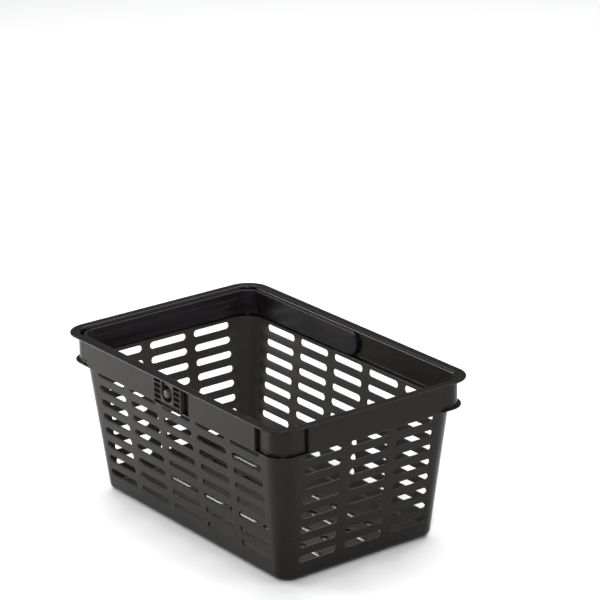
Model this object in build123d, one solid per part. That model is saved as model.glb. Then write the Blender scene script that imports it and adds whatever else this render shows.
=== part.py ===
"""Single-handled shopping basket: one slotted tub with a stiff rim and a fold-down carry handle.

+X runs along the length and +Z up. The origin is the centre of the base, on the floor.
The handle is drawn folded down, lying on the rim's ledge towards -X. All sizes in mm.
"""
import os
from math import cos, radians, sin, sqrt, tan

from build123d import *

# Lip and rim wall
lip_length = 450.0
lip_width = 296.0
basket_height = 210.0
lip_corner_radius = 32.0
lip_thickness = 2.2
lip_edge_round = 0.8
rim_crown_radius = 3.2        # from the lip's top into the rim wall's inner face
wall_thickness = 2.5
rim_depth = 35.2              # lip's top down to the ledge that the handle lies on
ledge_width = 5.5
ledge_thickness = 2.2
ledge_edge_round = 1.8
ledge_foot_radius = 2.0       # from the ledge up into the rim wall

# Skirt panels hung from the lip between its corners
lip_overhang = 6.0            # lip's edge outside the skirt's face
skirt_stand_off = 4.5         # skirt's face outside the rim wall's face
skirt_thickness = 2.2
skirt_edge_round = 1.4
skirt_end_from_lip_corner = 50.0
hinge_bay_gap = 14.0          # open side of the bay beside the hinge block

# Tub
long_wall_draft = 6.0         # degrees
short_wall_draft = 6.8
tub_corner_radius_top = 28.0
tub_corner_radius_base = 19.0
base_edge_round = 6.0
foot_height = 3.0
foot_inset = 11.5
foot_width = 3.0
foot_corner_radius = 14.0

# Slots in the walls and floor
slot_rows = 8
slot_row_pitch = 19.2
slot_height = 9.0
slot_edge_break = 0.5
slot_gap = 12.3               # solid web between two slots of a row
top_slot_below_ledge = 6.0
long_wall_columns = 5
long_wall_slot_field = 336.0
short_wall_columns = 3
short_wall_slot_field = 190.0
floor_rows = 5
floor_row_pitch = 34.0

# Carry handle
strip_width = 32.0
strip_thickness = 5.0
strip_edge_round = 1.2
strip_bend_radius = 26.0      # outer face
handle_side_clearance = 0.4   # each leg to the rim wall
handle_swing_clearance = 0.6  # grip's sweep to the rim wall
handle_ledge_clearance = 0.5
groove_count = 3
groove_pitch = 7.6
groove_width = 3.4
groove_depth = 0.9
pad_height = 16.0             # domed pad on the inner face of the grip and bends
pad_crown = 1.2               # pad's middle above the inner face
pad_leg_reach = 4.5           # pad along each leg beside the bend
pad_root = 0.5                # pad sunk into the strip

# Hinge pins
pin_radius = 4.5
pin_running_clearance = 0.05
pin_head_radius = 5.4
pin_head_length = 7.2
pin_head_round = 2.4
pin_head_clearance = 0.3      # head to the rim wall
pin_blind_skin = 1.5          # leg left in front of the pin's end

# Hinge blocks
block_width = 57.0
block_drop = 0.2              # block's foot below the ledge's underside
block_seat_clearance = 0.1    # block to the rim wall and to the lip
block_proud = 1.1             # block's face in front of the skirt's face
block_back = 0.9
block_frame = 1.6
block_rib = 1.2
block_edge_round = 0.3
block_cells = 4
block_foot_band = 6.2
keyhole_radius = 11.0
keyhole_collar = 1.9
keyhole_slot_width = 7.6      # from the keyhole's -X side to the block's top
peg_radius = 2.2
peg_fit_clearance = 0.05
peg_spacing = 41.0
peg_height_over_ledge = 6.4
peg_tip_gap = 0.4             # peg's end behind the rim wall's inner face

# Derived places
ledge_top = basket_height - rim_depth
ledge_bottom = ledge_top - ledge_thickness
lip_bottom = basket_height - lip_thickness
rim_half_length = lip_length / 2 - lip_overhang - skirt_stand_off
rim_half_width = lip_width / 2 - lip_overhang - skirt_stand_off
rim_inner_half_length = rim_half_length - wall_thickness
rim_inner_half_width = rim_half_width - wall_thickness
skirt_half_width = lip_width / 2 - lip_overhang
tub_half_length = rim_inner_half_length - ledge_width + wall_thickness
tub_half_width = rim_inner_half_width - ledge_width + wall_thickness
base_half_length = tub_half_length - (ledge_bottom - foot_height) * tan(radians(short_wall_draft))
base_half_width = tub_half_width - (ledge_bottom - foot_height) * tan(radians(long_wall_draft))
floor_top = foot_height + wall_thickness
bay_half_width = block_width / 2 + block_seat_clearance
pivot_height = ledge_top + handle_ledge_clearance + strip_width / 2
leg_outer_face = rim_inner_half_width - handle_side_clearance
handle_sweep_radius = rim_inner_half_length - handle_swing_clearance
handle_reach = sqrt(handle_sweep_radius**2 - (strip_width / 2) ** 2)
sides = {"front": 0, "back": 180}


def plate(half_length, half_width, radius, low, high):
    """Flat plate with rounded corners between two heights."""
    outline = Plane.XY.offset(low) * RectangleRounded(2 * half_length, 2 * half_width, radius)
    return extrude(outline, amount=high - low)


def rim_plate(inset, low, high):
    """Plate whose outline follows the lip's, a set distance inside it."""
    return plate(lip_length / 2 - inset, lip_width / 2 - inset, lip_corner_radius - inset, low, high)


def tub_block(inset, low):
    """Solid tapered block that fills the tub, its sides a set distance inside the outer walls."""
    top = Plane.XY.offset(ledge_bottom) * RectangleRounded(
        2 * (tub_half_length - inset), 2 * (tub_half_width - inset), tub_corner_radius_top - inset
    )
    rise = low - foot_height
    half_length = base_half_length - inset + rise * tan(radians(short_wall_draft))
    half_width = base_half_width - inset + rise * tan(radians(long_wall_draft))
    bottom = Plane.XY.offset(low) * RectangleRounded(
        2 * half_length, 2 * half_width, tub_corner_radius_base - inset
    )
    block = loft([bottom.face(), top.face()], ruled=True)
    round_radius = base_edge_round - inset
    return fillet(block.faces().sort_by(Axis.Z)[0].edges(), round_radius)


def tub():
    """Tapered walls and floor, standing on a low ring foot."""
    cavity_mouth = plate(
        tub_half_length - wall_thickness,
        tub_half_width - wall_thickness,
        tub_corner_radius_top - wall_thickness,
        ledge_bottom,
        basket_height,
    )
    body = tub_block(0.0, foot_height) + rim()
    body -= tub_block(wall_thickness, floor_top) + cavity_mouth
    foot_half_length = base_half_length - foot_inset
    foot_half_width = base_half_width - foot_inset
    foot = plate(foot_half_length, foot_half_width, foot_corner_radius, 0.0, floor_top)
    foot -= plate(
        foot_half_length - foot_width,
        foot_half_width - foot_width,
        foot_corner_radius - foot_width,
        0.0,
        floor_top,
    )
    return body + foot


def rim():
    """Lip, rim wall and ledge, before the tub's mouth is cut through the ledge."""
    wall_inset = lip_overhang + skirt_stand_off
    lip = rim_plate(0.0, lip_bottom, basket_height)
    lip = fillet(lip.edges().filter_by(Plane.XY), lip_edge_round)
    wall = rim_plate(wall_inset, ledge_bottom, basket_height)
    flange = rim_plate(lip_overhang, ledge_bottom, ledge_top)
    flange = fillet(flange.edges().filter_by(Plane.XY), lip_edge_round)
    hollow = rim_plate(wall_inset + wall_thickness, ledge_top, basket_height)
    hollow = fillet(hollow.faces().sort_by(Axis.Z)[0].edges(), ledge_foot_radius)
    frame = lip + wall + flange - hollow
    crown = [
        edge
        for edge in frame.edges()
        if abs(edge.center().Z - basket_height) < 0.01
        and abs(edge.center().X) < rim_inner_half_length + 0.01
        and abs(edge.center().Y) < rim_inner_half_width + 0.01
    ]
    return fillet(crown, rim_crown_radius)


def skirt(half_width, start, end):
    """One panel on the side facing -Y, and the pocket behind it, open downwards."""
    face = half_width - lip_overhang
    centre = (start + end) / 2
    height = lip_bottom - ledge_bottom
    panel = Pos(centre, -face + skirt_stand_off / 2, ledge_bottom + height / 2) * Box(
        end - start, skirt_stand_off, height
    )
    front = panel.faces().sort_by(Axis.Y)[0]
    edges = [edge for edge in front.edges() if edge.center().Z < lip_bottom - skirt_edge_round]
    panel = fillet(edges, skirt_edge_round)
    pocket_height = height - skirt_thickness
    pocket = Pos(
        centre, -face + (skirt_thickness + skirt_stand_off) / 2, ledge_bottom + pocket_height / 2
    ) * Box(end - start - 2 * skirt_thickness, skirt_stand_off - skirt_thickness, pocket_height)
    return panel, pocket


def skirts():
    """All panels and all pockets: two on each long side, one on each short side."""
    long_end = lip_length / 2 - skirt_end_from_lip_corner
    short_end = lip_width / 2 - skirt_end_from_lip_corner
    spans = [(-long_end, -bay_half_width), (bay_half_width + hinge_bay_gap, long_end)]
    panels = []
    pockets = []
    for turn in sides.values():
        for start, end in spans:
            panel, pocket = skirt(lip_width / 2, start, end)
            panels.append(Rot(0, 0, turn) * panel)
            pockets.append(Rot(0, 0, turn) * pocket)
        panel, pocket = skirt(lip_length / 2, -short_end, short_end)
        panels.append(Rot(0, 0, turn + 90) * panel)
        pockets.append(Rot(0, 0, turn + 90) * pocket)
    return panels, pockets


def slot_cutter(face, length, columns, rows, column_pitch, row_pitch, depth):
    """Cuts one field of slots through a wall, with the edge broken on the wall's outer face."""
    grid = GridLocations(column_pitch, row_pitch, columns, rows)
    slot = SlotOverall(length, slot_height)
    mouth = SlotOverall(length + 2 * slot_edge_break, slot_height + 2 * slot_edge_break)
    cutter = extrude(slot, amount=depth, both=True)
    cutter += extrude(mouth, amount=-slot_edge_break, taper=45)
    return [face * place * cutter for place in grid]


def wall_slots(half_width, draft, columns, field):
    """Slots of the wall facing -Y, square to its sloping outer face."""
    lean = radians(draft)
    top_row = ledge_top - top_slot_below_ledge - slot_height / 2
    middle = top_row - slot_row_pitch * (slot_rows - 1) / 2
    offset = half_width - (ledge_bottom - middle) * tan(lean)
    face = Plane(origin=(0, -offset, middle), x_dir=(1, 0, 0), z_dir=(0, -cos(lean), -sin(lean)))
    length = (field - (columns - 1) * slot_gap) / columns
    return slot_cutter(
        face,
        length,
        columns,
        slot_rows,
        length + slot_gap,
        slot_row_pitch / cos(lean),
        2 * wall_thickness,
    )


def floor_slots():
    """Slots through the floor, in line with the columns of the long walls."""
    length = (long_wall_slot_field - (long_wall_columns - 1) * slot_gap) / long_wall_columns
    face = Plane(origin=(0, 0, foot_height), x_dir=(1, 0, 0), z_dir=(0, 0, -1))
    return slot_cutter(
        face,
        length,
        long_wall_columns,
        floor_rows,
        length + slot_gap,
        floor_row_pitch,
        2 * wall_thickness,
    )


def wall_hole(across, height, radius):
    """Round hole through both long rim walls."""
    drill = Cylinder(radius, 2 * rim_half_width + wall_thickness)
    return Pos(across, 0, height) * Rot(90, 0, 0) * drill


def peg_places():
    """Across and up positions of a block's two locating pegs."""
    height = ledge_top + peg_height_over_ledge
    return [(-peg_spacing / 2, height), (peg_spacing / 2, height)]


def basket_shell():
    """The whole basket moulding."""
    shell = tub()
    mouth_half_width = tub_half_width - wall_thickness
    mouth_edges = [
        edge
        for edge in shell.edges()
        if abs(edge.center().Z - ledge_top) < 0.01
        and abs(edge.center().Y) < mouth_half_width + 0.01
        and abs(edge.center().X) < tub_half_length - wall_thickness + 0.01
    ]
    shell = fillet(mouth_edges, ledge_edge_round)
    panels, pockets = skirts()
    shell += panels
    bay_height = block_drop + ledge_thickness + lip_edge_round
    bay_depth = skirt_stand_off + block_seat_clearance
    bay = Pos(0, -rim_half_width - bay_depth / 2, ledge_bottom + bay_height / 2 - block_drop) * Box(
        2 * bay_half_width, bay_depth, bay_height
    )
    shell -= pockets + [bay, Rot(0, 0, 180) * bay]
    long_slots = wall_slots(
        tub_half_width, long_wall_draft, long_wall_columns, long_wall_slot_field
    )
    short_slots = wall_slots(
        tub_half_length, short_wall_draft, short_wall_columns, short_wall_slot_field
    )
    cutters = floor_slots()
    for turn in sides.values():
        cutters += [Rot(0, 0, turn) * slot for slot in long_slots]
        cutters += [Rot(0, 0, turn + 90) * slot for slot in short_slots]
    cutters.append(wall_hole(0, pivot_height, pin_radius + pin_running_clearance))
    for across, height in peg_places():
        cutters.append(wall_hole(across, height, peg_radius + peg_fit_clearance))
    return shell - cutters


def handle_outline(inset):
    """U of the folded strip seen from above, its open end past the pivot, as a closed outline."""
    reach = handle_reach - inset
    half_width = leg_outer_face - inset
    past_pivot = strip_width / 2
    length = reach + past_pivot
    outline = Pos(past_pivot - length / 2, 0) * Rectangle(length, 2 * half_width)
    bends = outline.vertices().group_by(Axis.X)[0]
    return fillet(bends, strip_bend_radius - inset)


def leg_end_trim():
    """Rounds both leg ends about the pivot."""
    half = strip_width / 2
    span = 2 * leg_outer_face
    square = Pos(half, 0, pivot_height) * Box(strip_width, span, strip_width + half)
    disc = Pos(0, 0, pivot_height) * Rot(90, 0, 0) * Cylinder(half, span)
    return square - disc


def handle_grooves():
    """Grooves along the outer face of the grip and its two bends, leaving ribs between them."""
    cutter = []
    for index in range(groove_count):
        height = pivot_height + (index - (groove_count - 1) / 2) * groove_pitch
        outer = Plane.XY.offset(height - groove_width / 2) * handle_outline(-groove_depth)
        inner = Plane.XY.offset(height - groove_width / 2) * handle_outline(groove_depth)
        ring = extrude(outer, amount=groove_width) - extrude(inner, amount=groove_width)
        cutter.append(ring)
    plain_legs = handle_reach - strip_bend_radius
    leg_box = Pos((strip_width - plain_legs) / 2, 0, pivot_height) * Box(
        strip_width + plain_legs, 2 * lip_width, 2 * strip_width
    )
    return [ring - leg_box for ring in cutter]


def grip_pad():
    """Domed pad along the inner face of the grip and its two bends."""
    reach = handle_reach - strip_thickness
    half_width = leg_outer_face - strip_thickness
    start = -handle_reach + strip_bend_radius + pad_leg_reach
    path = FilletPolyline(
        (start, -half_width, pivot_height),
        (-reach, -half_width, pivot_height),
        (-reach, half_width, pivot_height),
        (start, half_width, pivot_height),
        radius=strip_bend_radius - strip_thickness,
    )
    half = pad_height / 2
    dome = ThreePointArc((0, -half), (pad_crown, 0), (0, half))
    root = Polyline((0, half), (-pad_root, half), (-pad_root, -half), (0, -half))
    leg_end = Plane(origin=(start, -half_width, pivot_height), x_dir=(0, 1, 0), z_dir=(-1, 0, 0))
    return sweep(leg_end * make_face(dome + root), path=path)


def carry_handle():
    """Flat strip bent to a U, rounded at its pivot ends, ribbed outside and padded inside."""
    low = pivot_height - strip_width / 2
    strip = extrude(Plane.XY.offset(low) * handle_outline(0.0), amount=strip_width)
    strip -= extrude(Plane.XY.offset(low) * handle_outline(strip_thickness), amount=strip_width)
    strip -= leg_end_trim()
    long_edges = strip.edges().filter_by(lambda edge: edge.length > strip_bend_radius)
    strip = fillet(long_edges, strip_edge_round)
    strip -= handle_grooves()
    strip += grip_pad()
    blind_depth = strip_thickness - pin_blind_skin
    for turn in sides.values():
        socket = Pos(0, -leg_outer_face + blind_depth / 2, pivot_height) * Rot(90, 0, 0) * Cylinder(
            pin_radius, blind_depth
        )
        strip -= Rot(0, 0, turn) * socket
    return strip


def hinge_pin():
    """Round-headed pin of the hinge facing -Y: it turns in the rim wall and is fixed in the leg."""
    head_back = -rim_half_width - pin_head_clearance
    head = Pos(0, head_back - pin_head_length / 2, pivot_height) * Rot(90, 0, 0) * Cylinder(
        pin_head_radius, pin_head_length
    )
    crown = head.faces().sort_by(Axis.Y)[0]
    head = fillet(crown.edges(), pin_head_round)
    tip = -leg_outer_face + strip_thickness - pin_blind_skin
    shank_length = tip - head_back
    shank = Pos(0, head_back + shank_length / 2, pivot_height) * Rot(90, 0, 0) * Cylinder(
        pin_radius, shank_length
    )
    return head + shank


def block_cell(low_x, high_x, low_z, high_z, front, floor):
    """One recess in the block's face."""
    return Pos((low_x + high_x) / 2, (front + floor) / 2, (low_z + high_z) / 2) * Box(
        high_x - low_x, floor - front, high_z - low_z
    )


def hinge_block():
    """Ribbed block facing -Y that surrounds the pin's head with a keyhole."""
    back = -rim_half_width - block_seat_clearance
    front = -skirt_half_width - block_proud
    floor = back - block_back
    bottom = ledge_bottom - block_drop
    top = lip_bottom - block_seat_clearance
    block = block_cell(-block_width / 2, block_width / 2, bottom, top, front, back)
    outer = block_width / 2 - block_frame
    inner = keyhole_radius + keyhole_collar
    band_top = bottom + block_foot_band
    cells = [block_cell(-outer, outer, bottom + block_rib, band_top, front, floor)]
    cell_pitch = (top - block_frame - band_top) / block_cells
    for index in range(block_cells):
        low = band_top + index * cell_pitch + block_rib
        high = band_top + (index + 1) * cell_pitch
        cells.append(block_cell(-outer, -inner, low, high, front, floor))
        cells.append(block_cell(inner, outer, low, high, front, floor))
    block -= cells
    depth = 4 * skirt_stand_off
    hole = Pos(0, back, pivot_height) * Rot(90, 0, 0) * Cylinder(keyhole_radius, depth)
    slot_top = top - block_frame
    slot_middle = keyhole_slot_width / 2 - keyhole_radius
    slot = Pos(slot_middle, back, (pivot_height + slot_top) / 2) * Box(
        keyhole_slot_width, depth, slot_top - pivot_height
    )
    block -= [hole, slot]
    block = fillet(block.edges().group_by(Axis.Y)[0], block_edge_round)
    peg_length = block_seat_clearance + wall_thickness - peg_tip_gap
    for across, height in peg_places():
        block += Pos(across, back + peg_length / 2, height) * Rot(90, 0, 0) * Cylinder(
            peg_radius, peg_length
        )
    return block


def main():
    os.makedirs("parts", exist_ok=True)
    parts = {"basket_shell": basket_shell(), "carry_handle": carry_handle()}
    for side, turn in sides.items():
        parts["hinge_pin_" + side] = Rot(0, 0, turn) * hinge_pin()
        parts["hinge_block_" + side] = Rot(0, 0, turn) * hinge_block()
    for node, solid in parts.items():
        export_step(solid, os.path.join("parts", node + ".step"))


if __name__ == "__main__":
    main()
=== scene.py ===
"""Looks of the single-handled shopping basket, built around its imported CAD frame.

All sizes are in metres. The tub, rim, skirts and handle are modelled here as meshes with eased
edges; the hinge blocks and pins keep their CAD shapes and get their finish here.
"""
import math

import bmesh
import bpy
from mathutils import Matrix, Vector
from mathutils.geometry import delaunay_2d_cdt


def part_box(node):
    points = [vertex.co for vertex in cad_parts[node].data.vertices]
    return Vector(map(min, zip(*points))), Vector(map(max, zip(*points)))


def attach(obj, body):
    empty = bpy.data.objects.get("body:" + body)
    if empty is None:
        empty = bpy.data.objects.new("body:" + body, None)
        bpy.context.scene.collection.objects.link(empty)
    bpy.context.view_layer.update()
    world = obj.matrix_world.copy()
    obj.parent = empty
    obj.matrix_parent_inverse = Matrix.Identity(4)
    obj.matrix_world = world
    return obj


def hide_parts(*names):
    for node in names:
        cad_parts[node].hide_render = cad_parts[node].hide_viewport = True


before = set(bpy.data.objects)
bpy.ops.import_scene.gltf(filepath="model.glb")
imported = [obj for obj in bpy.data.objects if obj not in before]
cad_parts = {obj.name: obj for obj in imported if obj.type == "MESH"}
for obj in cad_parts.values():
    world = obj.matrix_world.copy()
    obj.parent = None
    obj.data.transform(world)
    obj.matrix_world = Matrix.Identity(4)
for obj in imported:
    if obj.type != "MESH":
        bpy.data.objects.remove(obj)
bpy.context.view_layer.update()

MM = 0.001

# ---- Sizes read from the frame
_, shell_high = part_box("basket_shell")
handle_low, handle_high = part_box("carry_handle")
_, block_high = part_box("hinge_block_front")

lip_half_length = shell_high.x
lip_half_width = shell_high.y
basket_height = shell_high.z
pivot_height = (handle_low.z + handle_high.z) / 2
strip_width = handle_high.z - handle_low.z
handle_reach = -handle_low.x
leg_outer_face = handle_high.y

# ---- Moulded sizes
lip_corner_radius = 32.0 * MM
lip_thickness = 2.2 * MM
lip_edge_round = 0.8 * MM
wall_thickness = 2.5 * MM
rim_depth = 35.2 * MM
ledge_width = 5.5 * MM
ledge_thickness = 2.2 * MM
ledge_edge_round = 1.8 * MM
ledge_foot_radius = 2.0 * MM
rim_crown_radius = 3.2 * MM
corner_fillet = 0.9 * MM
lip_overhang = 6.0 * MM
skirt_stand_off = 4.5 * MM
skirt_thickness = 2.2 * MM
skirt_edge_round = 1.4 * MM
skirt_end_from_lip_corner = 50.0 * MM
hinge_bay_gap = 14.0 * MM
bay_clearance = 0.1 * MM

long_wall_draft = math.radians(6.0)
short_wall_draft = math.radians(6.8)
tub_corner_radius_top = 28.0 * MM
tub_corner_radius_base = 19.0 * MM
base_edge_round = 6.0 * MM
foot_height = 3.0 * MM
foot_inset = 11.5 * MM
foot_width = 3.0 * MM
foot_corner_radius = 14.0 * MM
foot_edge_ease = 0.5 * MM

slot_rows = 8
slot_row_pitch = 19.2 * MM
slot_height = 9.0 * MM
slot_edge_round = 0.5 * MM
slot_gap = 12.3 * MM
top_slot_below_ledge = 6.0 * MM
long_wall_columns = 5
long_wall_slot_field = 336.0 * MM
short_wall_columns = 3
short_wall_slot_field = 190.0 * MM
floor_rows = 5
floor_row_pitch = 34.0 * MM

strip_thickness = 5.0 * MM
strip_edge_round = 1.2 * MM
strip_bend_radius = 26.0 * MM
groove_count = 3
groove_pitch = 7.6 * MM
groove_width = 3.4 * MM
groove_depth = 0.9 * MM
groove_run_out = 9.0 * MM
pad_height = 16.0 * MM
pad_crown = 1.2 * MM
pin_bore_radius = 4.55 * MM

# ---- Overlaps that keep the joining and cutting clean
panel_sink = 1.0 * MM
panel_proud = 0.04 * MM
pocket_reach = 5.0 * MM

# ---- Fineness of the meshes
corner_steps = 14
edge_steps = 3
slot_end_steps = 7
bend_steps = 18
groove_steps = 8
run_out_steps = 4
pad_steps = 6
leg_end_steps = 24
skirt_edge_steps = 4
bore_steps = 48
weld_distance = 0.004 * MM
cut_tolerance = 1e-7
slot_margin = 0.001 * MM
sharp_angle = math.radians(38)

# ---- Places of the basket's finishes in its material list
satin_place = 1
# The tub's inner faces use a lighter colour: painted light for the brighter lit inside of the tub.
tub_inside_painted_light_place = 2

# ---- Derived places
ledge_top = basket_height - rim_depth
ledge_bottom = ledge_top - ledge_thickness
lip_bottom = basket_height - lip_thickness
rim_inset = lip_overhang + skirt_stand_off
tub_half_length = lip_half_length - rim_inset - ledge_width
tub_half_width = lip_half_width - rim_inset - ledge_width
wall_rise = ledge_bottom - foot_height
base_half_length = tub_half_length - wall_rise * math.tan(short_wall_draft)
base_half_width = tub_half_width - wall_rise * math.tan(long_wall_draft)
floor_top = foot_height + wall_thickness
bay_half_width = block_high.x + bay_clearance


# ---------------------------------------------------------------- mesh helpers

def new_piece(name, mesh):
    """Object for a finished mesh, linked into the scene."""
    piece = bpy.data.objects.new(name, mesh)
    bpy.context.scene.collection.objects.link(piece)
    return piece


def mesh_from(name, builder):
    """Mesh from a bmesh, which is freed."""
    mesh = bpy.data.meshes.new(name)
    builder.to_mesh(mesh)
    builder.free()
    return mesh


def baked(piece):
    """Applies a piece's live modifiers to its mesh."""
    graph = bpy.context.evaluated_depsgraph_get()
    mesh = bpy.data.meshes.new_from_object(piece.evaluated_get(graph), depsgraph=graph)
    piece.modifiers.clear()
    old = piece.data
    piece.data = mesh
    bpy.data.meshes.remove(old)
    return piece


def smooth_shaded(piece):
    """Smooth shading that keeps flat faces flat beside their eased edges."""
    builder = bmesh.new()
    builder.from_mesh(piece.data)
    for face in builder.faces:
        face.smooth = True
    for edge in builder.edges:
        edge.smooth = not edge.is_manifold or edge.calc_face_angle(0.0) < sharp_angle
    builder.to_mesh(piece.data)
    builder.free()
    weighted = piece.modifiers.new("flat_faces", "WEIGHTED_NORMAL")
    weighted.keep_sharp = True
    weighted.weight = 100
    return baked(piece)


def combine(piece, tool, operation):
    """Joins or cuts a piece with a tool object, which is removed."""
    step = piece.modifiers.new(operation.lower(), "BOOLEAN")
    step.object = tool
    step.operation = operation
    step.solver = "EXACT"
    step.use_self = operation == "UNION"
    baked(piece)
    mesh = tool.data
    bpy.data.objects.remove(tool)
    bpy.data.meshes.remove(mesh)


def add_nodes_step(carrier, tree, values):
    """Runs a Geometry Nodes tree on an object with named input values and applies it."""
    step = carrier.modifiers.new(tree.name, "NODES")
    step.node_group = tree
    for item in tree.interface.items_tree:
        if item.in_out == "INPUT" and item.name in values:
            step[item.identifier] = values[item.name]
    baked(carrier)


def turn_about_z(builder, verts, turn):
    """Turns some of a bmesh's vertices about the z axis."""
    spin = Matrix.Rotation(turn, 3, "Z")
    bmesh.ops.rotate(builder, verts=verts, cent=(0, 0, 0), matrix=spin)


def corner_round(centre, radius, start, turn, steps):
    """Points of an arc in a plane, as (across, up) pairs; start and turn are in degrees."""
    points = []
    for index in range(steps + 1):
        angle = math.radians(start) + math.radians(turn) * index / steps
        across = centre[0] + radius * math.cos(angle)
        points.append((across, centre[1] + radius * math.sin(angle)))
    return points


# ---------------------------------------------------------------- slotted tub and rim

def rounded_ring(half_length, half_width, radius, height):
    """Rounded rectangle at one height, corner by corner from (+x, -y), anticlockwise from above."""
    corners = ((1, -1, -90), (1, 1, 0), (-1, 1, 90), (-1, -1, 180))
    ring = []
    for side_x, side_y, start in corners:
        centre_x = side_x * (half_length - radius)
        centre_y = side_y * (half_width - radius)
        for index in range(corner_steps + 1):
            angle = math.radians(start + 90 * index / corner_steps)
            x = centre_x + radius * math.cos(angle)
            y = centre_y + radius * math.sin(angle)
            ring.append(Vector((x, y, height)))
    return ring


def rim_ring(inset, height):
    """Ring that follows the lip's outline, a set distance inside it."""
    return rounded_ring(
        lip_half_length - inset, lip_half_width - inset, lip_corner_radius - inset, height
    )


def tub_outline(height):
    """Half length, half width and corner radius of the tub's outside at one height."""
    share = (height - foot_height) / wall_rise
    half_length = base_half_length + share * (tub_half_length - base_half_length)
    half_width = base_half_width + share * (tub_half_width - base_half_width)
    radius = tub_corner_radius_base + share * (tub_corner_radius_top - tub_corner_radius_base)
    return half_length, half_width, radius


def tub_ring(inset, height):
    """Ring on the tub's tapered side, a set distance inside the outer wall."""
    half_length, half_width, radius = tub_outline(height)
    return rounded_ring(half_length - inset, half_width - inset, radius - inset, height)


def base_round_rings(inset, flat_height):
    """Rings of the rounded edge between a wall and the floor, from the wall down to the flat."""
    radius = base_edge_round - inset
    wall_foot = flat_height + radius
    rings = []
    for index in range(edge_steps + 2):
        angle = math.radians(90) * index / (edge_steps + 1)
        pull = radius * (1 - math.cos(angle))
        rings.append(tub_ring(inset + pull, wall_foot - radius * math.sin(angle)))
    return rings


def rim_rings():
    """Rings from the tub's mouth over the ledge, rim wall and lip to the outer wall's top."""
    inner_wall = rim_inset + wall_thickness
    edge = ledge_edge_round
    foot = ledge_foot_radius
    crown = rim_crown_radius
    fillet = corner_fillet
    brow = lip_edge_round
    across_ledge = inner_wall + ledge_width - edge
    across_flange = lip_overhang + brow
    rounds = (
        (across_ledge, ledge_top - edge, edge, 0, 90, edge_steps),
        (inner_wall + foot, ledge_top + foot, foot, -90, -90, edge_steps),
        (inner_wall - crown, basket_height - crown, crown, 0, 90, 2 * edge_steps),
        (brow, basket_height - brow, brow, 90, 90, edge_steps),
        (brow, lip_bottom + brow, brow, 180, 90, edge_steps),
        (rim_inset - fillet, lip_bottom - fillet, fillet, 90, -90, edge_steps),
        (rim_inset - fillet, ledge_top + fillet, fillet, 0, -90, edge_steps),
        (across_flange, ledge_top - brow, brow, 90, 90, edge_steps),
        (across_flange, ledge_bottom + brow, brow, 180, 90, edge_steps),
    )
    profile = []
    for across, up, radius, start, turn, steps in rounds:
        profile += corner_round((across, up), radius, start, turn, steps)
    return [rim_ring(across, up) for across, up in profile]


def foot_rings():
    """Rings of the low ring foot under the floor, from outside to inside."""
    ease = foot_edge_ease

    def ring(inset, height):
        return rounded_ring(
            base_half_length - foot_inset - inset,
            base_half_width - foot_inset - inset,
            foot_corner_radius - inset,
            height,
        )

    return [
        ring(0.0, foot_height),
        ring(0.0, ease),
        ring(ease, 0.0),
        ring(foot_width - ease, 0.0),
        ring(foot_width, ease),
        ring(foot_width, foot_height),
    ]


def slot_outline(length, height, growth):
    """Stadium outline about the origin, anticlockwise, as (across, up) pairs."""
    radius = height / 2 + growth
    reach = length / 2 - height / 2
    right = corner_round((reach, 0), radius, -90, 180, slot_end_steps)
    left = corner_round((-reach, 0), radius, 90, 180, slot_end_steps)
    return right + left


def slot_band(length, depth):
    """Rounded wall of one slot, from the outer face (z = 0) to the inner face (z = -depth)."""
    levels = []
    for index in range(edge_steps):
        angle = math.radians(90) * index / (edge_steps - 1)
        growth = slot_edge_round * (1 - math.sin(angle))
        levels.append((growth, slot_edge_round * (1 - math.cos(angle))))
    levels += [(growth, depth - sink) for growth, sink in reversed(levels)]
    builder = bmesh.new()
    rings = []
    for growth, sink in levels:
        outline = slot_outline(length, slot_height, growth)
        rings.append([builder.verts.new((across, up, -sink)) for across, up in outline])
    for upper, lower in zip(rings, rings[1:]):
        for index in range(len(upper)):
            after = (index + 1) % len(upper)
            builder.faces.new((upper[index], upper[after], lower[after], lower[index]))
    return mesh_from("slot_band", builder)


def grid_repeat_tree():
    """Geometry Nodes tree that repeats the mesh it is given on a centred grid."""
    tree = bpy.data.node_groups.new("repeat_on_grid", "GeometryNodeTree")
    face = tree.interface
    face.new_socket("Geometry", in_out="INPUT", socket_type="NodeSocketGeometry")
    for name in ("Columns", "Rows"):
        face.new_socket(name, in_out="INPUT", socket_type="NodeSocketInt")
    for name in ("Field width", "Field height"):
        face.new_socket(name, in_out="INPUT", socket_type="NodeSocketFloat")
    face.new_socket("Material", in_out="INPUT", socket_type="NodeSocketMaterial")
    face.new_socket("Geometry", in_out="OUTPUT", socket_type="NodeSocketGeometry")
    nodes, links = tree.nodes, tree.links
    given = nodes.new("NodeGroupInput")
    grid = nodes.new("GeometryNodeMeshGrid")
    points = nodes.new("GeometryNodeMeshToPoints")
    repeat = nodes.new("GeometryNodeInstanceOnPoints")
    solid = nodes.new("GeometryNodeRealizeInstances")
    finish = nodes.new("GeometryNodeSetMaterial")
    result = nodes.new("NodeGroupOutput")
    links.new(given.outputs["Field width"], grid.inputs["Size X"])
    links.new(given.outputs["Field height"], grid.inputs["Size Y"])
    links.new(given.outputs["Columns"], grid.inputs["Vertices X"])
    links.new(given.outputs["Rows"], grid.inputs["Vertices Y"])
    links.new(grid.outputs["Mesh"], points.inputs["Mesh"])
    links.new(points.outputs["Points"], repeat.inputs["Points"])
    links.new(given.outputs["Geometry"], repeat.inputs["Instance"])
    links.new(repeat.outputs["Instances"], solid.inputs["Geometry"])
    links.new(solid.outputs["Geometry"], finish.inputs["Geometry"])
    links.new(given.outputs["Material"], finish.inputs["Material"])
    links.new(finish.outputs["Geometry"], result.inputs["Geometry"])
    return tree


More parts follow.
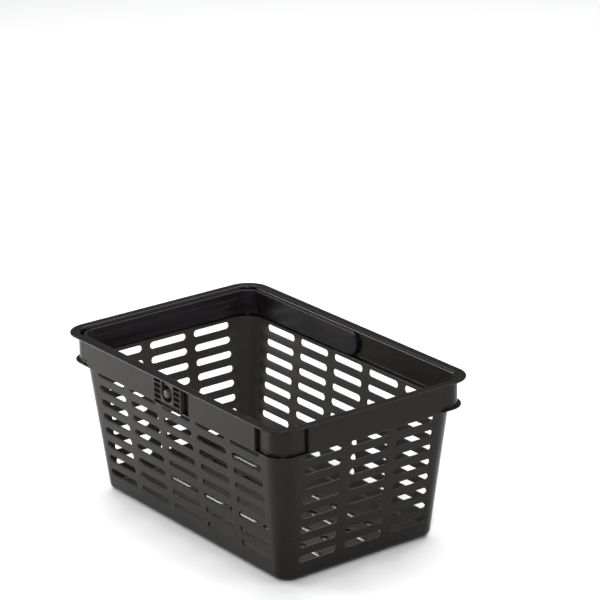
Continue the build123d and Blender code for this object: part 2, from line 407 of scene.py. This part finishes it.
def repeated_on_grid(mesh, tree, columns, rows, width, height, material):
    """Mesh of the given mesh repeated on a grid by the tree."""
    carrier = new_piece("grid_carrier", mesh)
    values = {
        "Columns": columns,
        "Rows": rows,
        "Field width": width,
        "Field height": height,
        "Material": material,
    }
    add_nodes_step(carrier, tree, values)
    result = carrier.data
    bpy.data.objects.remove(carrier)
    return result


class SlotField:
    """A flat wall or floor with a grid of slots: its plane, its slots and its two faces."""

    def __init__(self, columns, rows, field, row_pitch, place, depth):
        self.columns = columns
        self.rows = rows
        self.length = (field - (columns - 1) * slot_gap) / columns
        self.column_pitch = self.length + slot_gap
        self.row_pitch = row_pitch
        self.place = place
        self.depth = depth

    def centres(self):
        """Middle of each slot in the plane."""
        for column in range(self.columns):
            for row in range(self.rows):
                across = (column - (self.columns - 1) / 2) * self.column_pitch
                yield across, (row - (self.rows - 1) / 2) * self.row_pitch

    def bands(self, tree, material):
        """Rounded slot walls of the whole field, in place."""
        mesh = repeated_on_grid(
            slot_band(self.length, self.depth),
            tree,
            self.columns,
            self.rows,
            (self.columns - 1) * self.column_pitch,
            (self.rows - 1) * self.row_pitch,
            material,
        )
        mesh.transform(self.place)
        return mesh

    def add_face(self, builder, outline, sink):
        """Flat face bounded by an outline of 3-D points and pierced by the slots."""
        to_plane = self.place.inverted()
        flat = [(to_plane @ point).to_2d() for point in outline]
        loops = [list(range(len(flat)))]
        for across, up in self.centres():
            start = len(flat)
            ring = slot_outline(self.length, slot_height, slot_edge_round)
            flat += [Vector((across + x, up + y)) for x, y in ring]
            loops.append(list(range(start, len(flat))))
        edges = []
        for loop in loops:
            edges += [(loop[index - 1], loop[index]) for index in range(len(loop))]
        inside_only = 1
        verts, _, faces, _, _, _ = delaunay_2d_cdt(flat, edges, [], inside_only, cut_tolerance)
        made = [builder.verts.new(self.place @ Vector((v.x, v.y, -sink))) for v in verts]
        for face in faces:
            middle = sum((verts[index] for index in face), Vector((0, 0))) / len(face)
            if not self.in_slot(middle):
                corners = [made[index] for index in face]
                builder.faces.new(corners if sink == 0 else corners[::-1])

    def in_slot(self, point):
        """True where a point of the plane lies in a slot's mouth."""
        reach = self.length / 2 - slot_height / 2
        radius = slot_height / 2 + slot_edge_round
        for across, up in self.centres():
            beyond = max(abs(point.x - across) - reach, 0.0)
            if math.hypot(beyond, point.y - up) < radius - slot_margin:
                return True
        return False


def wall_field(half_width, draft, columns, field, turn):
    """Slot field of the wall that faces -y, turned about z."""
    top_row = ledge_top - top_slot_below_ledge - slot_height / 2
    middle = top_row - slot_row_pitch * (slot_rows - 1) / 2
    offset = half_width - (ledge_bottom - middle) * math.tan(draft)
    along = Vector((1, 0, 0))
    outward = Vector((0, -math.cos(draft), -math.sin(draft)))
    upward = outward.cross(along)
    place = Matrix((along, upward, outward)).transposed().to_4x4()
    place.translation = Vector((0, -offset, middle))
    place = Matrix.Rotation(turn, 4, "Z") @ place
    depth = wall_thickness * math.cos(draft)
    return SlotField(columns, slot_rows, field, slot_row_pitch / math.cos(draft), place, depth)


def floor_field():
    """Slot field of the floor; its outer face looks down."""
    place = Matrix.Rotation(math.pi, 4, "X")
    place.translation = Vector((0, 0, foot_height))
    return SlotField(
        long_wall_columns, floor_rows, long_wall_slot_field, floor_row_pitch, place, wall_thickness
    )


def add_ring_strip(builder, lower, upper, skip_sides=False):
    """Quads between two rings; the four straight sides can be left open for slotted walls."""
    count = len(lower)
    for index in range(count):
        after = (index + 1) % count
        if skip_sides and (index + 1) % (corner_steps + 1) == 0:
            continue
        corners = [lower[index], lower[after], upper[after], upper[index]]
        builder.faces.new([builder.verts.new(point) for point in corners])


def side_outline(lower, upper, side):
    """Four corners of one straight side between two rings."""
    start = side * (corner_steps + 1) + corner_steps
    after = (start + 1) % len(lower)
    return [lower[start], lower[after], upper[after], upper[start]]


def wall_fields():
    """The four walls' slot fields, in the order of the rings' straight sides."""
    short_wall = (tub_half_length, short_wall_draft, short_wall_columns, short_wall_slot_field)
    long_wall = (tub_half_width, long_wall_draft, long_wall_columns, long_wall_slot_field)
    fields = []
    for side, wall in enumerate((short_wall, long_wall, short_wall, long_wall)):
        fields.append(wall_field(*wall, math.radians(90 * (side + 1))))
    return fields


def in_tub(point):
    """True for a point on the tub's inner side, below the ledge's edge."""
    middle = wall_thickness / 2
    if not floor_top - middle < point.z < ledge_bottom:
        return False
    half_length, half_width, radius = tub_outline(point.z)
    past_x = max(abs(point.x) - half_length + middle + radius, 0.0)
    past_y = max(abs(point.y) - half_width + middle + radius, 0.0)
    return math.hypot(past_x, past_y) < radius


def shell_body(tree, material):
    """Tub, floor, foot, ledge, rim wall and lip as one closed mesh."""
    inner_base = base_round_rings(wall_thickness, floor_top)
    outer_base = base_round_rings(0.0, foot_height)
    rim = rim_rings()
    inner_wall_top = tub_ring(wall_thickness, ledge_bottom)
    outer_wall_top = tub_ring(0.0, ledge_bottom)
    foot = foot_rings()
    builder = bmesh.new()
    for lower, upper in zip(inner_base[:0:-1], inner_base[-2::-1]):
        add_ring_strip(builder, lower, upper)
    add_ring_strip(builder, inner_base[0], inner_wall_top, skip_sides=True)
    path = [inner_wall_top] + rim + [outer_wall_top]
    for lower, upper in zip(path, path[1:]):
        add_ring_strip(builder, lower, upper)
    add_ring_strip(builder, outer_wall_top, outer_base[0], skip_sides=True)
    path = outer_base + foot
    for lower, upper in zip(path, path[1:]):
        add_ring_strip(builder, lower, upper)
    fields = wall_fields()
    for side, field in enumerate(fields):
        field.add_face(builder, side_outline(outer_base[0], outer_wall_top, side), 0.0)
        field.add_face(builder, side_outline(inner_base[0], inner_wall_top, side), field.depth)
    floor = floor_field()
    floor.add_face(builder, foot[-1], 0.0)
    floor.add_face(builder, inner_base[-1], floor.depth)
    for field in fields + [floor]:
        band = field.bands(tree, material)
        builder.from_mesh(band)
        bpy.data.meshes.remove(band)
    bmesh.ops.remove_doubles(builder, verts=builder.verts, dist=weld_distance)
    bmesh.ops.recalc_face_normals(builder, faces=builder.faces)
    for face in builder.faces:
        # Faces inside the tub take the lighter colour, which is painted light for the light that
        # falls into the tub.
        if in_tub(face.calc_center_median()):
            face.material_index = tub_inside_painted_light_place
    return mesh_from("basket_shell_visual", builder)


# ---------------------------------------------------------------- skirt panels and holes

def box_mesh(builder, low, high):
    """Adds a box between two corners and returns its vertices."""
    made = bmesh.ops.create_cube(builder, size=1.0)
    size = [high[axis] - low[axis] for axis in range(3)]
    middle = [(high[axis] + low[axis]) / 2 for axis in range(3)]
    for vert in made["verts"]:
        vert.co = Vector([middle[axis] + vert.co[axis] * size[axis] for axis in range(3)])
    return made["verts"]


def skirt_spans():
    """(half width of the side, start, end, turn) of every skirt panel."""
    long_end = lip_half_length - skirt_end_from_lip_corner
    short_end = lip_half_width - skirt_end_from_lip_corner
    spans = []
    for turn in (0.0, math.pi):
        spans.append((lip_half_width, -long_end, -bay_half_width, turn))
        spans.append((lip_half_width, bay_half_width + hinge_bay_gap, long_end, turn))
        spans.append((lip_half_length, -short_end, short_end, turn + math.pi / 2))
    return spans


def skirt_panels(materials):
    """Skirt panels with eased front edges, their backs sunk in the rim wall and lip."""
    builder = bmesh.new()
    for half_width, start, end, turn in skirt_spans():
        face = half_width - lip_overhang
        low = (start, -face - panel_proud, ledge_bottom - panel_proud)
        high = (end, -face + skirt_stand_off + panel_sink, lip_bottom + panel_sink)
        verts = box_mesh(builder, low, high)
        edges = set()
        for vert in verts:
            for edge in vert.link_edges:
                front = all(v.co.y < -face for v in edge.verts)
                below = any(v.co.z < lip_bottom for v in edge.verts)
                if front and below:
                    edges.add(edge)
        eased = bmesh.ops.bevel(
            builder,
            geom=list(edges),
            offset=skirt_edge_round,
            segments=skirt_edge_steps,
            profile=0.5,
            affect="EDGES",
        )
        panel = set(verts) | set(eased["verts"])
        turn_about_z(builder, [vert for vert in panel if vert.is_valid], turn)
    for panel_face in builder.faces:
        panel_face.material_index = satin_place
    tool = new_piece("skirt_tool", mesh_from("skirt_tool", builder))
    for material in materials:
        tool.data.materials.append(material)
    return tool


def pocket_tools():
    """Pockets behind the panels and the bays of the two hinge blocks."""
    builder = bmesh.new()
    for half_width, start, end, turn in skirt_spans():
        face = half_width - lip_overhang
        verts = box_mesh(
            builder,
            (start + skirt_thickness, -face + skirt_thickness, ledge_bottom - pocket_reach),
            (end - skirt_thickness, -face + skirt_stand_off, lip_bottom - skirt_thickness),
        )
        turn_about_z(builder, verts, turn)
    for turn in (0.0, math.pi):
        face = lip_half_width - rim_inset
        verts = box_mesh(
            builder,
            (-bay_half_width, -lip_half_width, ledge_bottom - pocket_reach),
            (bay_half_width, -face, ledge_top + corner_fillet),
        )
        turn_about_z(builder, verts, turn)
    return new_piece("pocket_tool", mesh_from("pocket_tool", builder))


def pin_bore_tool():
    """Drill for the two pin holes in the rim wall."""
    low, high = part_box("hinge_pin_front")
    pin_axis = Matrix.Translation((0, 0, (low.z + high.z) / 2))
    builder = bmesh.new()
    bmesh.ops.create_cone(
        builder,
        cap_ends=True,
        segments=bore_steps,
        radius1=pin_bore_radius,
        radius2=pin_bore_radius,
        depth=2 * lip_half_width,
        matrix=pin_axis @ Matrix.Rotation(math.pi / 2, 4, "X"),
    )
    return new_piece("bore_tool", mesh_from("bore_tool", builder))


def basket_shell(materials):
    """The basket moulding: glossy outside, satin on the skirt panels and a lighter colour inside
    the tub, which is painted light for the brighter lit inside.
    """
    tree = grid_repeat_tree()
    shell = new_piece("basket_shell_visual", shell_body(tree, materials[0]))
    for material in materials:
        shell.data.materials.append(material)
    combine(shell, skirt_panels(materials), "UNION")
    combine(shell, pocket_tools(), "DIFFERENCE")
    combine(shell, pin_bore_tool(), "DIFFERENCE")
    return smooth_shaded(shell)


# ---------------------------------------------------------------- carry handle

def strip_section():
    """Section of the strip as (outward, up, relief) triples about the pivot height, anticlockwise.

    Relief is how far a point moves outward where the strip is plain, without grooves and pad.
    """
    half = strip_width / 2
    ease = strip_edge_round
    inner = -strip_thickness

    def edge(across, up, start):
        return [(x, z, 0.0) for x, z in corner_round((across, up), ease, start, 90, edge_steps)]

    section = edge(-ease, -half + ease, -90)
    for index in range(groove_count):
        middle = (index - (groove_count - 1) / 2) * groove_pitch
        for step in range(groove_steps + 1):
            share = step / groove_steps
            sink = groove_depth * (1 - math.cos(2 * math.pi * share)) / 2
            section.append((-sink, middle + groove_width * (share - 0.5), sink))
    section += edge(-ease, half - ease, 0)
    section += edge(inner + ease, half - ease, 90)
    section += [(x, z, inner - x) for x, z in pad_profile(inner)]
    section += edge(inner + ease, -half + ease, 180)
    return section


def pad_profile(inner):
    """Domed pad on the strip's inner face, from its top edge down to its bottom edge."""
    half = pad_height / 2
    radius = (half**2 + pad_crown**2) / (2 * pad_crown)
    points = []
    for step in range(2 * pad_steps + 1):
        up = half * (1 - step / pad_steps)
        points.append((inner + radius - pad_crown - math.sqrt(radius**2 - up**2), up))
    return points


def strip_path():
    """Outer face of the U seen from above, bends still square, from the +y leg to the -y leg."""
    bend_x = -handle_reach + strip_bend_radius
    leg = [Vector((0, leg_outer_face, 0))]
    for step in range(run_out_steps + 1):
        x = bend_x + groove_run_out * (1 - step / run_out_steps)
        leg.append(Vector((x, leg_outer_face, 0)))
    leg.append(Vector((-handle_reach, leg_outer_face, 0)))
    return leg + [Vector((point.x, -point.y, 0)) for point in reversed(leg)]


def strip_sweep_tree():
    """Geometry Nodes tree that sweeps a section along a path with rounded bends.

    The section's relief is taken out again on the legs, over the run-out before each bend.
    """
    tree = bpy.data.node_groups.new("sweep_strip", "GeometryNodeTree")
    face = tree.interface
    face.new_socket("Geometry", in_out="INPUT", socket_type="NodeSocketGeometry")
    face.new_socket("Section", in_out="INPUT", socket_type="NodeSocketObject")
    for name in ("Bend radius", "Bend start", "Run-out", "Height"):
        face.new_socket(name, in_out="INPUT", socket_type="NodeSocketFloat")
    face.new_socket("Bend steps", in_out="INPUT", socket_type="NodeSocketInt")
    face.new_socket("Material", in_out="INPUT", socket_type="NodeSocketMaterial")
    face.new_socket("Geometry", in_out="OUTPUT", socket_type="NodeSocketGeometry")
    nodes, links = tree.nodes, tree.links
    given = nodes.new("NodeGroupInput")
    path = nodes.new("GeometryNodeMeshToCurve")
    bends = nodes.new("GeometryNodeFilletCurve")
    bends.mode = "POLY"
    upright = nodes.new("GeometryNodeSetCurveNormal")
    upright.mode = "Z_UP"
    section = nodes.new("GeometryNodeObjectInfo")
    section.transform_space = "ORIGINAL"
    profile = nodes.new("GeometryNodeMeshToCurve")
    sweep = nodes.new("GeometryNodeCurveToMesh")
    relief = nodes.new("GeometryNodeInputNamedAttribute")
    relief.data_type = "FLOAT"
    relief.inputs["Name"].default_value = "relief"
    place = nodes.new("GeometryNodeInputPosition")
    parts = nodes.new("ShaderNodeSeparateXYZ")
    run = nodes.new("ShaderNodeMath")
    run.operation = "ADD"
    plain = nodes.new("ShaderNodeMapRange")
    side = nodes.new("ShaderNodeMath")
    side.operation = "SIGN"
    amount = nodes.new("ShaderNodeMath")
    amount.operation = "MULTIPLY"
    across = nodes.new("ShaderNodeMath")
    across.operation = "MULTIPLY"
    shift = nodes.new("ShaderNodeCombineXYZ")
    shaped = nodes.new("GeometryNodeSetPosition")
    solid = nodes.new("GeometryNodeRealizeInstances")
    finish = nodes.new("GeometryNodeSetMaterial")
    result = nodes.new("NodeGroupOutput")
    links.new(given.outputs["Geometry"], path.inputs["Mesh"])
    links.new(path.outputs["Curve"], bends.inputs["Curve"])
    links.new(given.outputs["Bend radius"], bends.inputs["Radius"])
    links.new(given.outputs["Bend steps"], bends.inputs["Count"])
    links.new(bends.outputs["Curve"], upright.inputs["Curve"])
    links.new(given.outputs["Section"], section.inputs["Object"])
    links.new(section.outputs["Geometry"], profile.inputs["Mesh"])
    links.new(upright.outputs["Curve"], sweep.inputs["Curve"])
    links.new(profile.outputs["Curve"], sweep.inputs["Profile Curve"])
    links.new(place.outputs["Position"], parts.inputs["Vector"])
    links.new(given.outputs["Bend start"], run.inputs[0])
    links.new(given.outputs["Run-out"], run.inputs[1])
    links.new(parts.outputs["X"], plain.inputs["Value"])
    links.new(given.outputs["Bend start"], plain.inputs["From Min"])
    links.new(run.outputs["Value"], plain.inputs["From Max"])
    links.new(parts.outputs["Y"], side.inputs[0])
    links.new(relief.outputs["Attribute"], amount.inputs[0])
    links.new(plain.outputs["Result"], amount.inputs[1])
    links.new(amount.outputs["Value"], across.inputs[0])
    links.new(side.outputs["Value"], across.inputs[1])
    links.new(across.outputs["Value"], shift.inputs["Y"])
    links.new(given.outputs["Height"], shift.inputs["Z"])
    links.new(sweep.outputs["Mesh"], shaped.inputs["Geometry"])
    links.new(shift.outputs["Vector"], shaped.inputs["Offset"])
    links.new(shaped.outputs["Geometry"], solid.inputs["Geometry"])
    links.new(solid.outputs["Geometry"], finish.inputs["Geometry"])
    links.new(given.outputs["Material"], finish.inputs["Material"])
    links.new(finish.outputs["Geometry"], result.inputs["Geometry"])
    return tree


def line_mesh(name, points, closed):
    """Mesh of edges through a row of points."""
    builder = bmesh.new()
    verts = [builder.verts.new(point) for point in points]
    for first, second in zip(verts, verts[1:]):
        builder.edges.new((first, second))
    if closed:
        builder.edges.new((verts[-1], verts[0]))
    return mesh_from(name, builder)


def swept_strip(material):
    """The U-shaped part of the handle as a mesh."""
    section = strip_section()
    outline = line_mesh("strip_section", [(x, z, 0) for x, z, _ in section], True)
    relief = outline.attributes.new("relief", "FLOAT", "POINT")
    relief.data.foreach_set("value", [depth for _, _, depth in section])
    profile = new_piece("strip_section", outline)
    carrier = new_piece("strip_carrier", line_mesh("strip_path", strip_path(), False))
    values = {
        "Section": profile,
        "Bend radius": strip_bend_radius,
        "Bend start": -handle_reach + strip_bend_radius,
        "Run-out": groove_run_out,
        "Height": pivot_height,
        "Bend steps": bend_steps - 1,
        "Material": material,
    }
    add_nodes_step(carrier, strip_sweep_tree(), values)
    strip = carrier.data
    bpy.data.objects.remove(carrier)
    bpy.data.objects.remove(profile)
    return strip


def add_leg_end(builder, side):
    """Rounded end of one leg: the strip's half section turned about the pivot."""
    profile = [(x + relief, up) for x, up, relief in strip_section() if up > -weld_distance]
    rings = []
    for step in range(leg_end_steps + 1):
        turn = math.pi * step / leg_end_steps
        ring = []
        for outward, up in profile:
            y = side * (leg_outer_face + outward)
            place = (up * math.sin(turn), y, pivot_height + up * math.cos(turn))
            ring.append(builder.verts.new(place))
        rings.append(ring)
    for first, second in zip(rings, rings[1:]):
        for index in range(len(profile) - 1):
            corners = [first[index], first[index + 1], second[index + 1], second[index]]
            builder.faces.new(corners)


def carry_handle(material):
    """Flat strip bent to a U, with ribs outside, a pad inside and rounded leg ends."""
    strip = swept_strip(material)
    builder = bmesh.new()
    builder.from_mesh(strip)
    bpy.data.meshes.remove(strip)
    for side in (-1, 1):
        add_leg_end(builder, side)
    bmesh.ops.remove_doubles(builder, verts=builder.verts, dist=weld_distance)
    bmesh.ops.recalc_face_normals(builder, faces=builder.faces)
    handle = new_piece("carry_handle_visual", mesh_from("carry_handle_visual", builder))
    handle.data.materials.append(material)
    return smooth_shaded(handle)


def finish_node(node, material):
    """Gives a CAD solid that keeps its shape its finish."""
    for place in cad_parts[node].material_slots:
        place.material = material


# ---------------------------------------------------------------- finishes

cloud_scale = 14
cloud_detail = 3
cloud_tint_span = (0.35, 0.65)
cloud_gloss_span = (0.3, 0.7)
cloud_lift = 1.25
cloud_gloss_swing = 0.03
scuff_scale = 60
scuff_detail = 4
scuff_stretch = (1, 1, 14)
scuff_span = (0.62, 0.75)
scuff_dulling = 0.07
ripple_scale = 22
ripple_detail = 1
ripple_strength = 0.25
ripple_depth = 0.6 * MM
grain_detail = 2
grain_strength = 0.35
plastic_ior = 1.49
plastic_specular = 0.17
plastic_specular_tint = (1.0, 0.94, 0.89, 1)

# name, colour, roughness, grain size, grain depth
plastics = (
    ("black_polypropylene", (0.0052, 0.0046, 0.0040), 0.25, 0.5 * MM, 0.03 * MM),
    ("satin_polypropylene", (0.0060, 0.0053, 0.0047), 0.45, 0.5 * MM, 0.06 * MM),
    # Lighter black on the tub's inner faces: painted light for the brighter lit inside of the tub.
    ("tub_inside_painted_light_polypropylene", (0.0300, 0.0270, 0.0240), 0.36, 0.5 * MM, 0.05 * MM),
    ("handle_polypropylene", (0.0080, 0.0070, 0.0092), 0.25, 0.5 * MM, 0.03 * MM),
    ("hinge_block_polypropylene", (0.025, 0.0225, 0.0205), 0.40, 0.4 * MM, 0.06 * MM),
    ("hinge_pin_acetal", (0.058, 0.054, 0.051), 0.34, 0.5 * MM, 0.02 * MM),
)


def moulded_plastic(name, colour, roughness, grain_size, grain_depth):
    """Moulded plastic with fine grain, slow ripples, faint cloudiness and hairline scuffs."""
    material = bpy.data.materials.new(name)
    material.use_nodes = True
    nodes, links = material.node_tree.nodes, material.node_tree.links
    shader = nodes["Principled BSDF"]
    place = nodes.new("ShaderNodeTexCoord")

    def noise(scale, detail, stretch=(1, 1, 1)):
        mapping = nodes.new("ShaderNodeMapping")
        mapping.inputs["Scale"].default_value = stretch
        texture = nodes.new("ShaderNodeTexNoise")
        texture.inputs["Scale"].default_value = scale
        texture.inputs["Detail"].default_value = detail
        links.new(place.outputs["Object"], mapping.inputs["Vector"])
        links.new(mapping.outputs["Vector"], texture.inputs["Vector"])
        return texture.outputs["Fac"]

    def ramp(factor, low, high, low_value, high_value):
        spread = nodes.new("ShaderNodeMapRange")
        spread.inputs["From Min"].default_value = low
        spread.inputs["From Max"].default_value = high
        spread.inputs["To Min"].default_value = low_value
        spread.inputs["To Max"].default_value = high_value
        links.new(factor, spread.inputs["Value"])
        return spread.outputs["Result"]

    def bump(height, strength, distance, normal=None):
        relief = nodes.new("ShaderNodeBump")
        relief.inputs["Strength"].default_value = strength
        relief.inputs["Distance"].default_value = distance
        links.new(height, relief.inputs["Height"])
        if normal is not None:
            links.new(normal, relief.inputs["Normal"])
        return relief.outputs["Normal"]

    cloud = noise(cloud_scale, cloud_detail)
    scuff = noise(scuff_scale, scuff_detail, scuff_stretch)
    tint = nodes.new("ShaderNodeMix")
    tint.data_type = "RGBA"
    tint.inputs["A"].default_value = (*colour, 1)
    tint.inputs["B"].default_value = (*[channel * cloud_lift for channel in colour], 1)
    links.new(ramp(cloud, *cloud_tint_span, 0, 1), tint.inputs["Factor"])
    links.new(tint.outputs["Result"], shader.inputs["Base Color"])
    worn = nodes.new("ShaderNodeMath")
    worn.operation = "ADD"
    glossiest, dullest = roughness - cloud_gloss_swing, roughness + cloud_gloss_swing
    links.new(ramp(cloud, *cloud_gloss_span, glossiest, dullest), worn.inputs[0])
    links.new(ramp(scuff, *scuff_span, 0.0, scuff_dulling), worn.inputs[1])
    links.new(worn.outputs["Value"], shader.inputs["Roughness"])
    ripple = bump(noise(ripple_scale, ripple_detail), ripple_strength, ripple_depth)
    fine = bump(noise(1 / grain_size, grain_detail), grain_strength, grain_depth, ripple)
    links.new(fine, shader.inputs["Normal"])
    shader.inputs["IOR"].default_value = plastic_ior
    shader.inputs["Specular IOR Level"].default_value = plastic_specular
    shader.inputs["Specular Tint"].default_value = plastic_specular_tint
    return material


# ---------------------------------------------------------------- studio

floor_half_width = 9.0
floor_colour = (0.9, 0.9, 0.9, 1)
floor_roughness = 0.85
surroundings_colour = (0.96, 0.98, 1.0, 1)
surroundings_strength = 0.16
light_aim = (0, 0, 0.15)

# name, place, width and height, watts
lights = (
    ("overhead", (-0.6, 0.7, 3.2), (4.0, 4.0), 185),
    ("front", (1.8, -1.35, 1.4), (0.2, 0.2), 30),
    ("front_left", (-1.25, -1.0, 0.3), (0.8, 0.3), 24),
    ("far_right", (1.7, 1.28, 0.7), (0.8, 0.3), 9),
)


def studio_floor():
    """Large pale floor."""
    builder = bmesh.new()
    bmesh.ops.create_grid(builder, x_segments=1, y_segments=1, size=floor_half_width)
    floor = new_piece("studio_floor", mesh_from("studio_floor", builder))
    pale = bpy.data.materials.new("pale_floor")
    pale.use_nodes = True
    shader = pale.node_tree.nodes["Principled BSDF"]
    shader.inputs["Base Color"].default_value = floor_colour
    shader.inputs["Roughness"].default_value = floor_roughness
    floor.data.materials.append(pale)


def area_light(name, place, size, power):
    """Soft rectangular light that looks at the basket."""
    data = bpy.data.lights.new(name, "AREA")
    data.shape = "RECTANGLE"
    data.size, data.size_y = size
    data.energy = power
    light = bpy.data.objects.new(name, data)
    light.location = place
    ahead = Vector(light_aim) - Vector(place)
    light.rotation_euler = ahead.to_track_quat("-Z", "Y").to_euler()
    bpy.context.scene.collection.objects.link(light)


def studio_lights():
    """Dim surroundings, a broad soft light overhead and three smaller ones around the basket."""
    world = bpy.data.worlds.new("studio")
    bpy.context.scene.world = world
    world.use_nodes = True
    background = world.node_tree.nodes["Background"]
    background.inputs["Color"].default_value = surroundings_colour
    background.inputs["Strength"].default_value = surroundings_strength
    for name, place, size, power in lights:
        area_light(name, place, size, power)
    bpy.context.scene.view_settings.view_transform = "Standard"


def studio_camera(azimuth, elevation, roll, distance, target, lens):
    """Camera that looks at a target from an azimuth and elevation, with a slight roll."""
    turn = math.radians(azimuth)
    rise = math.radians(elevation)
    back = Vector(
        (math.sin(turn) * math.cos(rise), -math.cos(turn) * math.cos(rise), math.sin(rise))
    )
    data = bpy.data.cameras.new("camera")
    data.lens = lens
    data.sensor_width = 36
    data.clip_end = 50
    camera = bpy.data.objects.new("camera", data)
    level = (-back).to_track_quat("-Z", "Y").to_matrix().to_4x4()
    tilt = Matrix.Rotation(math.radians(roll), 4, "Z")
    camera.matrix_world = Matrix.Translation(Vector(target) + back * distance) @ level @ tilt
    bpy.context.scene.collection.objects.link(camera)
    bpy.context.scene.camera = camera


# ---------------------------------------------------------------- assembly

def main():
    """Builds the visible pieces around the frame and sets up the studio."""
    black, satin, tub_inside_painted_light, strip_black, block_black, pin_black = (
        moulded_plastic(*plastic) for plastic in plastics
    )

    shell = basket_shell((black, satin, tub_inside_painted_light))
    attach(shell, "basket")
    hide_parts("basket_shell")

    handle = carry_handle(strip_black)
    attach(handle, "handle")
    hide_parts("carry_handle")

    for side in ("front", "back"):
        finish_node("hinge_block_" + side, block_black)
        finish_node("hinge_pin_" + side, pin_black)

    studio_floor()
    studio_lights()
    studio_camera(
        azimuth=53.26,
        elevation=19.64,
        roll=-0.95,
        distance=3.529,
        target=(-0.0152, 0.0676, 0.2574),
        lens=173.2,
    )

    bpy.context.view_layer.update()


main()
